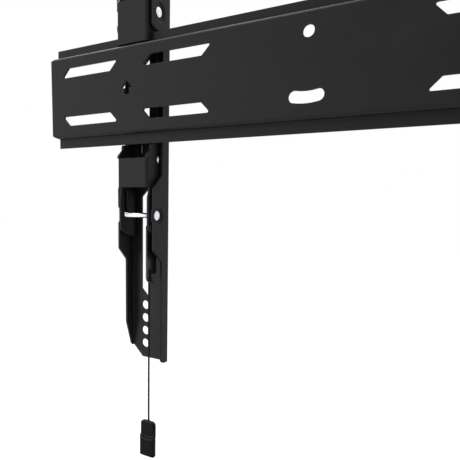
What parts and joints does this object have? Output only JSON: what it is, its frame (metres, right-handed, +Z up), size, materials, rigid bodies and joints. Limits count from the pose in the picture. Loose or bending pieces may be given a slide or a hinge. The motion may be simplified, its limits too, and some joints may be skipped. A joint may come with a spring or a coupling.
{
  "type": "fixed tv wall mount",
  "caption": "Slim fixed wall mount for a screen: a folded steel wall plate with slots, and hook-on vertical strips whose sprung latches are let go by pull cords.",
  "frame": {"origin": "centre of the wall plate's face that lies on the wall", "axes": "+X along the wall plate, +Y from the wall into the room, +Z up"},
  "size_m": [0.495, 0.0312, 0.5153],
  "materials": {
    "black_powder_coat": "satin black powder coat",
    "black_plated_steel": "satin black",
    "zinc_plated_steel": "bright zinc plate",
    "spring_steel": "drawn wire",
    "black_cord": "braided cord",
    "black_plastic": "moulded, fine matt"
  },
  "bodies": {
    "plate": {"wall_plate": "black_powder_coat"},
    "left_strip": {"left_strip": "black_powder_coat", "left_hook_bracket": "black_powder_coat", "left_hook_pin": "zinc_plated_steel", "left_guide_pin": "zinc_plated_steel", "left_return_spring": "spring_steel"},
    "left_latch": {"left_latch_slider": "black_powder_coat", "left_spring_pin": "zinc_plated_steel", "left_pull_link": "black_plated_steel", "left_link_rivet": "black_plated_steel", "left_pull_cord": "black_cord", "left_cord_grip": "black_plastic"},
    "right_strip": {"right_strip": "black_powder_coat", "right_hook_bracket": "black_powder_coat", "right_hook_pin": "zinc_plated_steel", "right_guide_pin": "zinc_plated_steel", "right_return_spring": "spring_steel"},
    "right_latch": {"right_latch_slider": "black_powder_coat", "right_spring_pin": "zinc_plated_steel", "right_pull_link": "black_plated_steel", "right_link_rivet": "black_plated_steel", "right_pull_cord": "black_cord", "right_cord_grip": "black_plastic"}
  },
  "joints": [
    {"name": "left_strip_slide", "type": "slide", "parent": "plate", "child": "left_strip", "axis": [1, 0, 0], "range_m": [-0.06, 0.1]},
    {"name": "left_latch_slide", "type": "slide", "parent": "left_strip", "child": "left_latch", "axis": [0, 0, 1], "range_m": [-0.02, 0], "stiffness_N_per_m": 250, "springref_m": 0.015, "deforming": ["left_return_spring"]},
    {"name": "right_strip_slide", "type": "slide", "parent": "plate", "child": "right_strip", "axis": [1, 0, 0], "range_m": [-0.1, 0.06]},
    {"name": "right_latch_slide", "type": "slide", "parent": "right_strip", "child": "right_latch", "axis": [0, 0, 1], "range_m": [-0.02, 0], "stiffness_N_per_m": 250, "springref_m": 0.015, "deforming": ["right_return_spring"]}
  ]
}
